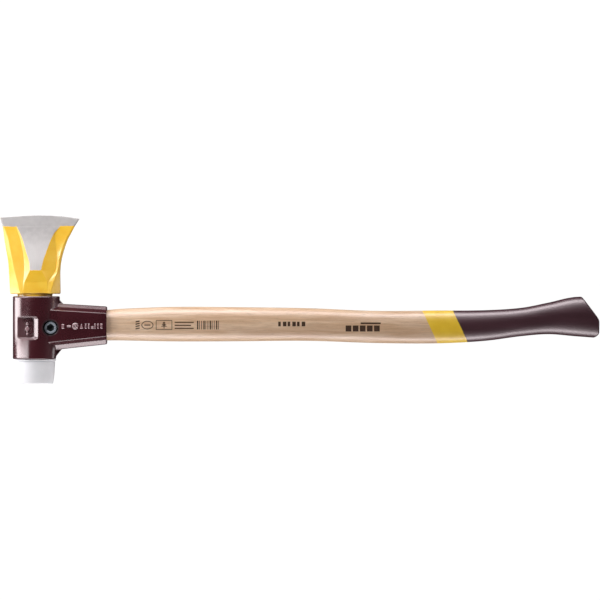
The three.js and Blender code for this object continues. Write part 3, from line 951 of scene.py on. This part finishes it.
def handle_print():
    """Plain signs where the handle has its printing: a hatch, an oval, a tree in a frame, lines and bars."""
    ink = Print()
    middle = 86.2
    for i in range(4):
        low = middle - 6.4 + i * 3.4
        ink.patch([(148.2, low), (154.2, low + 1.2), (154.2, low + 3), (148.2, low + 1.8)], 2, 2)
    ink.ring(165.6, middle, 8.8, 6.2, 1.1)
    ink.bar(161.2, 170, middle - 0.8, middle + 0.8)
    ink.frame(178, 202, middle - 7, middle + 7, 0.9)
    ink.bar(189.4, 190.6, middle - 5, middle - 2)
    for wide, low in ((5, -2.2), (3.8, 0.2), (2.6, 2.6)):
        base = middle + low
        ink.patch([(190 - wide, base), (190 + wide, base), (190.4, base + 2.3), (189.6, base + 2.3)], 4, 2)
    for k, length in enumerate((28, 24, 28)):
        low = middle - 5.6 + k * 4.4
        ink.bar(205.6, 205.6 + length, low, low + 1.6)
    for k in range(11):
        x = 238.4 + k * 3.1
        ink.bar(x, x + (0.9 if k % 3 else 1.9), middle - 6.4, middle + 6.4)
    for k in range(6):
        x = 357.5 + k * 6.9
        ink.bar(x, x + (5.2 if k % 2 else 3.8), 84.4, 91.2)
    ink.bar(478.5, 508, 87.6, 90)
    for k in range(5):
        x = 456.5 + k * 10.4
        ink.bar(x, x + 8.4, 76.8, 85.6)
    made = piece("handle_print", ink.points, ink.faces)
    shade(made, 60)
    made.data.materials.append(printed_ink())
    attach(made, frame["nodes"]["hickory_handle"]["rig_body"])
    return made


# ---- Inserts ----


def nylon_face():
    plug = 23.0
    groove = 20.2
    shoulder = HOUSING_BOTTOM - GAP
    profile = [(AXIS, 0), (12, 0), (20, 0)]
    profile += arc((24.6, 2.6), 2.6, -90, -8, 9)
    profile += [(28.0, 8), (28.7, 15), (29.2, 22), (29.6, 29), (29.75, 32.4)]
    profile += [(29.2, 32.8), (28.8, 33.1), (29.2, 33.4), (30.3, 33.55)]
    profile += arc((30.3, 34.15), 0.6, -60, 0, 4)
    profile += arc((30.2, 35.5), 0.7, 0, 90, 5)
    profile += [(27, shoulder), (plug + 0.2, shoulder), (plug, shoulder + 0.3)]
    profile += [(plug, 43.8), (plug - 0.4, 44.2), (groove + 0.3, 44.2), (groove, 44.5)]
    profile += [(groove, 49.5), (groove + 0.3, 49.8), (plug - 0.4, 49.8), (plug, 50.2)]
    profile += [(plug, 60.8), (plug - 1.2, 62), (12, 62), (AXIS, 62)]
    made = turned("nylon_face", profile, 192)
    points = tool_points(made)
    put_attribute(made, "face_share", np.clip(1 - points[:, 1] / 2.5, 0, 1))
    shade(made, 35)
    return install(made, "nylon_face", nylon())


# Feature lines of the blade's cheek, each from the base up to the cutting edge as (x, y, z): the two
# rims, the inner lines of the rim chamfers, the creases beside the raised centre, its borders and middle.
EDGE = 0.9
BLADE_LINES = [
    [(-36.3, 132, 12), (-37.2, 149, 10.6), (-38.2, 167, 9.2), (-39.2, 179, 8), (-41.6, 193, 6.6),
     (-44.8, 211, 4.8), (-46, 221, 3.8), (-47.6, 231, 2.8), (-51.4, 244.2, EDGE)],
    [(-21.5, 132, 26.5), (-24.9, 149, 22.2), (-30, 167, 17.6), (-32.5, 179, 14.6), (-35.4, 193, 11.4),
     (-38.9, 211, 7.6), (-41.5, 221, 5.7), (-46, 231.2, 3.8), (-50, 244.6, EDGE)],
    [(-17.5, 132, 26.5), (-15.9, 147.7, 23.2), (-15, 165, 18.2), (-15.3, 179, 14.7), (-17, 193, 11.5),
     (-21, 211.5, 7.6), (-24.5, 221, 5.7), (-28, 231, 4.2), (-29, 245.9, EDGE)],
    [(-16.8, 132, 26.5), (-15.2, 148, 23.7), (-6.6, 166.8, 23.9), (-7.8, 179, 21), (-12.2, 193, 16.8),
     (-17.8, 211.5, 10.6), (-21.6, 221, 7.5), (-27.2, 231.6, 4.2), (-28, 245.9, EDGE)],
    [(1.6, 132, 26.5), (1.9, 149.2, 24), (1.5, 166.8, 24.2), (2.2, 179, 21.3), (2.3, 193, 17.1),
     (2.9, 211.5, 10.9), (3.4, 221, 7.8), (4.2, 232, 4.4), (4.4, 247.5, EDGE)],
    [(20, 132, 26.5), (19, 150.4, 23.6), (9.6, 166.8, 23.9), (12.2, 179, 21), (16.8, 193, 16.8),
     (23.6, 211.5, 10.6), (28.3, 221, 7.5), (37.6, 232, 4.2), (39.6, 246.2, EDGE)],
    [(20.6, 132, 26.5), (20, 150, 22.4), (31, 164, 15.2), (33.2, 179, 11.6), (31.9, 193, 9),
     (29.8, 211.5, 6.6), (30.2, 221, 5.6), (38.5, 231.8, 4.2), (40.5, 246.1, EDGE)],
    [(23, 132, 26.5), (28, 149, 22.2), (33.4, 165, 17.6), (35.2, 179, 14.4), (38.6, 193, 11.4),
     (45.3, 211.5, 7.4), (50.8, 221, 5.5), (57, 232, 3.6), (64.2, 242.8, EDGE)],
    [(37.3, 132, 12), (37, 149, 10.6), (36.9, 165, 9.2), (38.3, 179, 8), (41.6, 193, 6.6),
     (47.8, 211, 4.8), (53, 221, 3.8), (58.8, 232, 2.8), (65.6, 242.4, EDGE)],
]
LEFT_CENTRE, RIGHT_CENTRE = 3, 5  # lines along the borders of the raised centre
CENTRE_BOTTOM = 2  # station where the bare centre starts
BEVEL = 7  # station where the edge bevel starts
LINE_STEPS = 6  # points between two stations below the bevel
EDGE_BULGE = 0.34  # how far the edge rises halfway between the borders and the middle


def smooth_line(line):
    """Points on a smooth curve through a feature line as far as the bevel, then straight to the edge."""
    p = np.array(line, float)
    made = []
    for i in range(BEVEL):
        before = p[max(i - 1, 0)]
        after = p[min(i + 2, BEVEL)]
        sharp = i in (0, 1) or i + 1 == CENTRE_BOTTOM
        for k in range(LINE_STEPS):
            t = k / LINE_STEPS
            if sharp:
                made.append(p[i] + (p[i + 1] - p[i]) * t)
                continue
            m0 = (p[i + 1] - (before if i > CENTRE_BOTTOM else p[i])) / (2 if i > CENTRE_BOTTOM else 1)
            m1 = (after - p[i]) / 2
            made.append(hermite(p[i], p[i + 1], m0, m1, t))
    for k in range(4):
        made.append(p[BEVEL] + (p[BEVEL + 1] - p[BEVEL]) * k / 3)
    return np.array(made)


def distance_to_line(points, line):
    """Shortest distance in x and y from each point to a line of points."""
    best = np.full(len(points), 1e9)
    for a, b in zip(line[:-1, :2], line[1:, :2]):
        span = b - a
        t = np.clip(((points - a) @ span) / max(span @ span, 1e-9), 0, 1)
        best = np.minimum(best, np.hypot(*(points - a - t[:, None] * span).T))
    return best


def inside(points, outline):
    """Which points lie inside an outline in x and y."""
    x, y = points.T
    found = np.zeros(len(points), bool)
    for (x0, y0), (x1, y1) in zip(outline, np.roll(outline, -1, 0)):
        crosses = (y0 > y) != (y1 > y)
        with np.errstate(divide="ignore", invalid="ignore"):
            where = x0 + (y - y0) * (x1 - x0) / (y1 - y0)
        found ^= crosses & (x < where)
    return found


def blade_body():
    """The forged body, lofted through the cheek's feature lines on both sides."""
    front = [smooth_line(line) for line in BLADE_LINES]
    cheek = []
    for i, line in enumerate(front):
        cheek.append(line)
        if LEFT_CENTRE <= i < RIGHT_CENTRE:
            halfway = (line + front[i + 1]) / 2
            halfway[-1, 1] += EDGE_BULGE
            cheek.append(halfway)
    back = [line * (1, 1, -1) for line in reversed(cheek)]
    sections = np.array([[line[i] for line in cheek + back] for i in range(len(cheek[0]))])
    drawn_in = sections[0] * (0.97, 1, 0.93)
    sections[0] += (0, 1.2, 0)
    return loft("splitting_blade", [drawn_in, *sections]), front


def blade_stem():
    """The stem under the blade, with the groove that the housing's ribs sit in."""
    plug, groove = 25.4, 22.2
    profile = [(AXIS, 101.5), (plug - 2, 101.5), (plug - 0.6, 102), (plug, 103.4), (plug, 109.3),
               (plug - 0.4, 109.7), (groove + 0.5, 109.7), (groove, 110.2), (groove, 115.8),
               (groove + 0.5, 116.3), (plug - 0.4, 116.3), (plug, 116.7), (plug, 130.6),
               (plug + 0.5, 131.4), (plug + 0.6, 134), (AXIS, 134)]
    return turned("stem", profile, 160)


def splitting_blade():
    made, front = blade_body()
    made = boolean(made, blade_stem(), "UNION")
    made.name = "splitting_blade"
    soften(made, 0.42, 2, 1)
    points = tool_points(made)
    flat = points[:, :2]
    start = CENTRE_BOTTOM * LINE_STEPS
    left, right = front[LEFT_CENTRE][start:], front[RIGHT_CENTRE][start:]
    outline = np.concatenate([left[:, :2], right[::-1, :2]])
    border = [left, right, np.array([left[0], right[0]])]
    nearest = np.min([distance_to_line(flat, line) for line in border], 0)
    put_attribute(made, "centre_distance", np.where(inside(flat, outline), -nearest, nearest))
    bevel = np.array([line[BEVEL * LINE_STEPS] for line in front])
    level = np.interp(flat[:, 0], bevel[:, 0], bevel[:, 1])
    put_attribute(made, "edge_distance", level - flat[:, 1])
    edge_attribute(made)
    return install(made, "splitting_blade", blade_finish())


# ---- Fasteners ----

PITCH = 1.75  # of the M12 thread
THREAD_DEPTH = 0.95
SCREW_RADIUS = 6.0
HEAD_HEIGHT = 12.0
HEAD_RADIUS = 9.0
KEY_FLATS = 10.0
KEY_DEPTH = 6.0
NECK = 5.0  # plain length under the head
NUT_MOUTH = 6.9  # radius where the nut's thread begins
RING_TURN = np.linspace(0, 2 * math.pi, 144, endpoint=False)


def ring(radius, z):
    """A loop of points round the screw's axis. The radius and the height may change along it."""
    radius = np.broadcast_to(radius, RING_TURN.shape)
    z = np.broadcast_to(z, RING_TURN.shape)
    return np.stack([SCREW.x + radius * np.cos(RING_TURN), SCREW.y + radius * np.sin(RING_TURN), z], 1)


def hexagon_radius(flats, turn):
    """Radius of a hexagon's outline at each angle, with corners at 0 and every 60 degrees."""
    return (flats / 2) / np.cos(turn % math.radians(60) - math.radians(30))


def thread_radius(z, crest, depth=THREAD_DEPTH):
    """Radius of a right-hand thread's surface all round at one height."""
    phase = (z / PITCH - RING_TURN / (2 * math.pi)) % 1.0
    wave = np.abs(2 * phase - 1)
    return crest - depth * np.clip((wave - 0.12) / 0.76, 0, 1)


def clamp_screw():
    """Socket-head screw: knurled head, chamfered hexagon socket, plain neck and a real thread."""
    top, tip = float(screw_high[2]), float(screw_low[2])
    head_low = top - HEAD_HEIGHT
    thread_top = head_low - NECK
    wall = hexagon_radius(KEY_FLATS, RING_TURN + math.radians(30))
    knurl = 0.22 * np.abs(((RING_TURN * 36 / (2 * math.pi)) % 1.0) * 2 - 1)
    key_rings = [(0.02, KEY_DEPTH + 1.6), (wall * 0.6, KEY_DEPTH + 1.0), (wall * 0.985, KEY_DEPTH + 0.2),
                 (wall, KEY_DEPTH), (wall, 0.9), (np.maximum(wall, 5.85), 0.25), (6.1, 0), (8.0, 0)]
    loops = [ring(radius, top - depth) for radius, depth in key_rings]
    for t in np.radians(np.linspace(0, 90, 5)):
        loops.append(ring(8.2 + 0.8 * math.sin(t), top - 0.8 + 0.8 * math.cos(t)))
    side_rings = [(HEAD_RADIUS - knurl * 0.2, top - 1.2), (HEAD_RADIUS - knurl, top - 1.6),
                  (HEAD_RADIUS - knurl, head_low + 1.0), (8.8, head_low + 0.4), (8.5, head_low),
                  (6.6, head_low), (6.2, head_low - 0.15), (SCREW_RADIUS, head_low - 0.6),
                  (SCREW_RADIUS, thread_top)]
    loops += [ring(radius, z) for radius, z in side_rings]
    count = int((thread_top - tip) / PITCH * (9))
    for z in np.linspace(thread_top - 0.4, tip + 0.05, count):
        fade = min(1.0, (thread_top - z) / 2.0)
        radius = thread_radius(z, SCREW_RADIUS - 0.05, THREAD_DEPTH * fade)
        loops.append(ring(np.minimum(radius, SCREW_RADIUS - 1.1 + (z - tip)), z))
    loops += [ring(4.4, tip), ring(0.02, tip)]
    made = loft("clamp_screw", loops)
    x, y, z = tool_points(made).T
    # Marks the inside of the hexagon socket, which the steel's material paints dark as shade.
    in_key = (np.hypot(x - SCREW.x, y - SCREW.y) < 5.9) & (z < top - 0.6) & (z > top - 7.8)
    put_attribute(made, "key_share", in_key * 0.9)
    shade(made, 38)
    return install(made, "clamp_screw", screw_steel())


def clamp_nut():
    """Hexagon nut with chamfered corners and a thread that fits the screw's.

    Its corners stand 30 degrees off those of its recess and reach about 0.7 mm into the recess's walls.
    """
    low, high = float(nut_low[2]), float(nut_high[2])
    flats = float(nut_high[1] - nut_low[1]) * math.sqrt(3) / 2
    outer = hexagon_radius(flats, RING_TURN)
    flat_edge = flats / 2 * 0.97
    drop = np.maximum(0, outer - flat_edge) * math.tan(math.radians(30))
    loops = [ring(flat_edge, high), ring(outer, high - drop), ring(outer, low + drop), ring(flat_edge, low)]
    loops.append(ring(NUT_MOUTH, low))
    count = int((high - low) / PITCH * (9))
    for z in np.linspace(low + 0.5, high - 0.5, count):
        loops.append(ring(thread_radius(z, SCREW_RADIUS + 0.25), z))
    loops.append(ring(NUT_MOUTH, high))
    rows, sides = len(loops), len(RING_TURN)
    faces = grid_faces(rows, sides)
    for j in range(sides):
        k = (j + 1) % sides
        faces.append(((rows - 1) * sides + j, (rows - 1) * sides + k, k, j))
    made = piece("clamp_nut", loops, faces)
    shade(made, 28)
    return install(made, "clamp_nut", plated_steel())


def lock_washer():
    """Split spring washer of rounded square wire."""
    low, high = float(washer_low[2]), float(washer_high[2])
    inner, outer, bevel = 6.4, 9.0, 0.3
    slit = math.radians(5)
    sections = []
    for turn in np.linspace(slit, 2 * math.pi - slit, 120):
        square = [(inner + bevel, low), (outer - bevel, low), (outer, low + bevel), (outer, high - bevel),
                  (outer - bevel, high), (inner + bevel, high), (inner, high - bevel), (inner, low + bevel)]
        along = (math.cos(turn), math.sin(turn))
        sections.append([(SCREW.x + r * along[0], SCREW.y + r * along[1], z) for r, z in square])
    made = loft("lock_washer", sections)
    shade(made, 30)
    return install(made, "lock_washer", plated_steel())


# ---- Studio ----

VIEW_WIDTH = 882.0  # what the camera sees across, at the tool's middle plane
VIEW_CENTRE = (389.5, 123.0)
LENS = 400.0
SENSOR = 36.0
FLOOR_GAP = 0.3  # keeps the floor clear of the pieces that lie on it
FLOOR_SIZE = 30.0  # metres from the middle to each side
STRIP_MIDDLE = (-250, 86)
STRIP_LENGTH = 2400
# Each strip's y from the middle, the angles off the camera's axis that it fills, and its brightness.
STRIPS = {
    "strip_above": (700, 58, 82, 4.3),
    "strip_above_low": (700, 82, 104, 0.5),
    "strip_above_front": (700, 34, 58, 0.75),
    "strip_below": (-700, 58, 82, 3.55),
    "strip_below_low": (-700, 82, 104, 0.7),
    "strip_below_front": (-700, 34, 58, 0.38),
}
# Each side light's x, its lowest and highest y, the angles that it fills, and its brightness.
SIDE_LIGHTS = {
    "left_barrel": (-220, 64, 150, 77, 118, 4.2),
    "left_blade": (-220, 188, 290, 48, 88, 2.4),
    "left_far": (-600, 480, 1150, 36, 62, 5.5),
    "left_lower": (-220, 24, 58, 31, 101, 5.2),
    "right_upper": (1500, 140, 520, 84, 118, 0.9),
    "right_lower": (300, -60, 50, 110, 128, 0.8),
}
# Height from straight down to straight up, and the surround's brightness there.
SKY_LEVELS = [(0.0, 0.02), (0.45, 0.03), (0.5, 0.08), (0.6, 0.06), (0.8, 0.02), (1.0, 0.012)]


def camera():
    data = bpy.data.cameras.new("camera")
    data.lens = LENS
    data.sensor_width = SENSOR
    data.clip_end = 100
    made = bpy.data.objects.new("camera", data)
    bpy.context.scene.collection.objects.link(made)
    distance = VIEW_WIDTH * LENS / SENSOR
    turn = Matrix.Rotation(lean, 4, "Y")
    made.matrix_world = turn @ Matrix.Translation(Vector((*VIEW_CENTRE, distance)) * MM)
    bpy.context.scene.camera = made


def studio_floor():
    """A white glowing floor that the tool lies on. It casts no shadow, so lights below it shine through."""
    level = min(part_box(node)[0].z for node in frame["nodes"]) - FLOOR_GAP * MM
    mesh = bpy.data.meshes.new("floor")
    corners = [(x * FLOOR_SIZE, y * FLOOR_SIZE, level) for x, y in ((-1, -1), (1, -1), (1, 1), (-1, 1))]
    mesh.from_pydata(corners, [], [(0, 1, 2, 3)])
    made = bpy.data.objects.new("floor", mesh)
    bpy.context.scene.collection.objects.link(made)
    s = Shader("floor_white")
    s.set(Base_Color=(0.05, 0.05, 0.05, 1), Roughness=1.0, Specular_IOR_Level=0.0)
    s.set(Emission_Color=(1, 1, 1, 1), Emission_Strength=1.0)
    mesh.materials.append(s.material)
    made.visible_glossy = False
    made.visible_shadow = False


def sky():
    """A dim surround, palest at the horizon and darker overhead and below."""
    world = bpy.data.worlds.new("tent")
    bpy.context.scene.world = world
    world.use_nodes = True
    tree = world.node_tree
    background = tree.nodes["Background"]
    place = tree.nodes.new("ShaderNodeTexCoord")
    split = tree.nodes.new("ShaderNodeSeparateXYZ")
    levels = tree.nodes.new("ShaderNodeValToRGB")
    height = tree.nodes.new("ShaderNodeMapRange")
    height.inputs["From Min"].default_value = -1
    points = levels.color_ramp.elements
    while len(points) < len(SKY_LEVELS):
        points.new(0.5)
    for point, (where, level) in zip(points, SKY_LEVELS):
        point.position = where
        point.color = (level, level, level, 1)
    tree.links.new(place.outputs["Generated"], split.inputs[0])
    tree.links.new(split.outputs["Z"], height.inputs["Value"])
    tree.links.new(height.outputs[0], levels.inputs[0])
    tree.links.new(levels.outputs[0], background.inputs["Color"])


def softbox(name, place, target, size, level):
    """An area light at a place in the tool's frame that shines at a target with a given brightness."""
    data = bpy.data.lights.new(name, "AREA")
    data.shape = "RECTANGLE"
    data.size, data.size_y = size[0] * MM, size[1] * MM
    data.energy = level * math.pi * data.size * data.size_y
    made = bpy.data.objects.new(name, data)
    bpy.context.scene.collection.objects.link(made)
    place, target = TOOL @ Vector(place), TOOL @ Vector(target)
    aim = target - place
    across = Vector((0, 1, 0)) if abs(aim.normalized().y) < 0.8 else Vector((1, 0, 0))
    side = across - across.project(aim)
    side.normalize()
    back = -aim.normalized()
    up = back.cross(side)
    turn = Matrix((side, up, back)).transposed().to_4x4()
    made.matrix_world = Matrix.Translation(place) @ turn
    made.visible_camera = False


def strip(name, y, low, high, level):
    """A long light beside the tool at y, seen from it between two angles off the camera's axis."""
    reach = abs(y)
    z = [reach / math.tan(math.radians(angle)) for angle in (high, low)]
    x, middle = STRIP_MIDDLE
    height = sum(z) / 2
    softbox(name, (x, middle + y, height), (x, middle, height), (STRIP_LENGTH, z[1] - z[0]), level)


def side_light(name, x, y0, y1, low, high, level):
    """A light at the left or right of the head between two heights, seen between two angles."""
    reach = abs(x)
    z = [reach / math.tan(math.radians(angle)) for angle in (high, low)]
    middle = (y0 + y1) / 2
    softbox(name, (x, middle, sum(z) / 2), (0, middle, sum(z) / 2), (y1 - y0, z[1] - z[0]), level)


def studio():
    sky()
    studio_floor()
    for name, values in STRIPS.items():
        strip(name, *values)
    for name, values in SIDE_LIGHTS.items():
        side_light(name, *values)
    bpy.context.scene.view_settings.view_transform = "Standard"


# ---- Assembly ----

camera()
studio()
paint = cast_paint()
install(housing_half("front_housing", 1), "front_housing", paint)
install(housing_half("rear_housing", -1), "rear_housing", paint)
splitting_blade()
nylon_face()
hickory_handle()
handle_print()
clamp_screw()
lock_washer()
clamp_nut()
